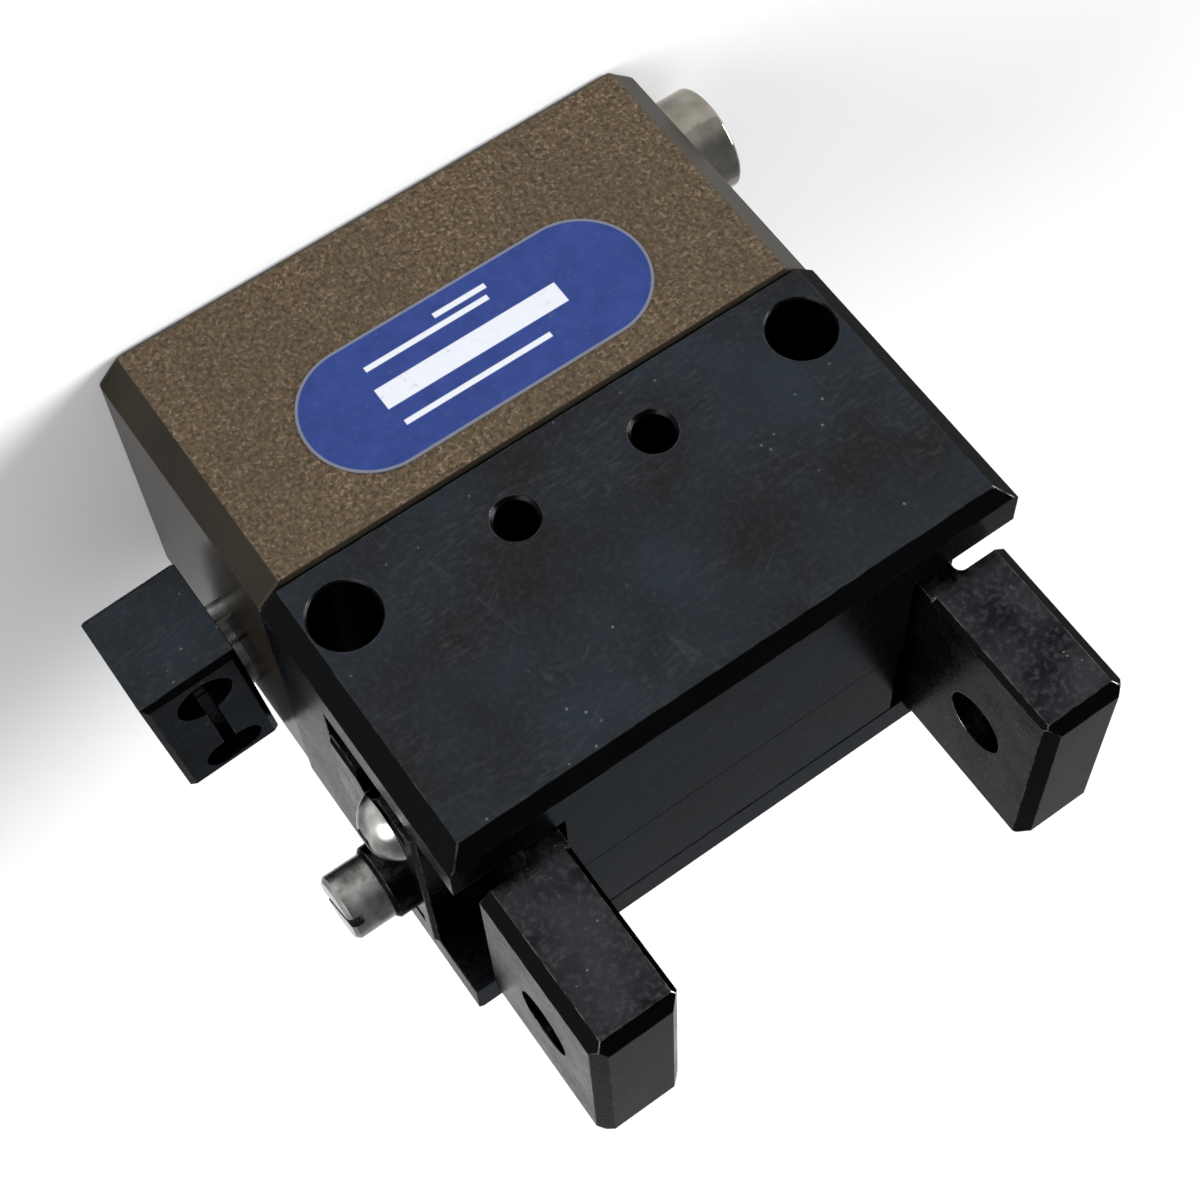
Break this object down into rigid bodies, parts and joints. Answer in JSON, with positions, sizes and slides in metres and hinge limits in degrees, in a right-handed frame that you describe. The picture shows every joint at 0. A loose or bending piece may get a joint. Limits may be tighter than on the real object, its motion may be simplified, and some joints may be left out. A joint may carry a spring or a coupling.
{
  "type": "pneumatic gripper",
  "caption": "Two-finger parallel pneumatic gripper: bronze cylinder housing, black guide block with sliding jaws, and a side sensor bracket.",
  "frame": {"origin": "centre of the four mounting threads, on the flat mounting face of the housing", "axes": "+Z from the mounting face to the fingers, X the jaws' stroke with the sensor bracket on +X, -Y the face with the label"},
  "size_m": [0.064, 0.0323, 0.0641],
  "materials": {
    "brown_anodised": "bead-blasted and hard-anodised, bronze brown, fine grain",
    "black_anodised": "milled and black-anodised, satin, bright at rubbed edges",
    "black_steel": "blackened hardened steel, ground, lightly oiled",
    "hardened_steel": "hardened and ground",
    "bright_screw": "bright zinc or nickel plated steel",
    "nickel_plate": "turned brass, nickel plated",
    "seal_fibre": "plain sealing washer",
    "seal_rubber": "smooth black seal rubber",
    "plain_aluminium": "turned, clear anodised",
    "cage_brass": "stamped strip",
    "label_film": "printed film, plain blue with a pale border"
  },
  "bodies": {
    "body": {"block_screws": "black_steel", "bracket_pin": "bright_screw", "bracket_screw": "black_steel", "bracket_washer": "bright_screw", "channel_plugs": "plain_aluminium", "cover_o_ring": "seal_rubber", "cover_pins": "hardened_steel", "cylinder_cover": "plain_aluminium", "dowel_pins": "hardened_steel", "front_rail": "hardened_steel", "guide_block": "black_anodised", "housing": "brown_anodised", "label": "label_film", "port_plug": "nickel_plate", "port_plug_seal": "seal_fibre", "rail_screws": "black_steel", "rear_rail": "hardened_steel", "retaining_ring": "black_steel", "rod_seal": "seal_rubber", "sensor_bracket": "black_anodised", "slot_cover": "black_anodised"},
    "piston_set": {"piston": "plain_aluminium", "piston_seal": "seal_rubber", "piston_screw": "black_steel", "wedge_hook": "hardened_steel"},
    "right_jaw_set": {"right_jaw": "black_steel", "button_screw": "bright_screw", "cam_spacer": "black_steel", "cam_screw": "bright_screw"},
    "left_jaw_set": {"left_jaw": "black_steel"},
    "right_roller_set": {"right_front_cage": "cage_brass", "right_rear_cage": "cage_brass", "right_rollers": "hardened_steel"},
    "left_roller_set": {"left_front_cage": "cage_brass", "left_rear_cage": "cage_brass", "left_rollers": "hardened_steel"}
  },
  "joints": [
    {"name": "piston_slide", "type": "slide", "parent": "body", "child": "piston_set", "axis": [0, 0, -1], "range_m": [0, 0.008]},
    {"name": "right_jaw_slide", "type": "slide", "parent": "body", "child": "right_jaw_set", "axis": [1, 0, 0], "range_m": [0, 0.006]},
    {"name": "left_jaw_slide", "type": "slide", "parent": "body", "child": "left_jaw_set", "axis": [-1, 0, 0], "range_m": [0, 0.006]},
    {"name": "right_roller_slide", "type": "slide", "parent": "body", "child": "right_roller_set", "axis": [1, 0, 0], "range_m": [0, 0.003]},
    {"name": "left_roller_slide", "type": "slide", "parent": "body", "child": "left_roller_set", "axis": [-1, 0, 0], "range_m": [0, 0.003]}
  ],
  "couplings": [
    {"joint": "right_jaw_slide", "follows": "piston_slide", "ratio": 0.75},
    {"joint": "left_jaw_slide", "follows": "piston_slide", "ratio": 0.75},
    {"joint": "right_roller_slide", "follows": "piston_slide", "ratio": 0.375},
    {"joint": "left_roller_slide", "follows": "piston_slide", "ratio": 0.375}
  ]
}
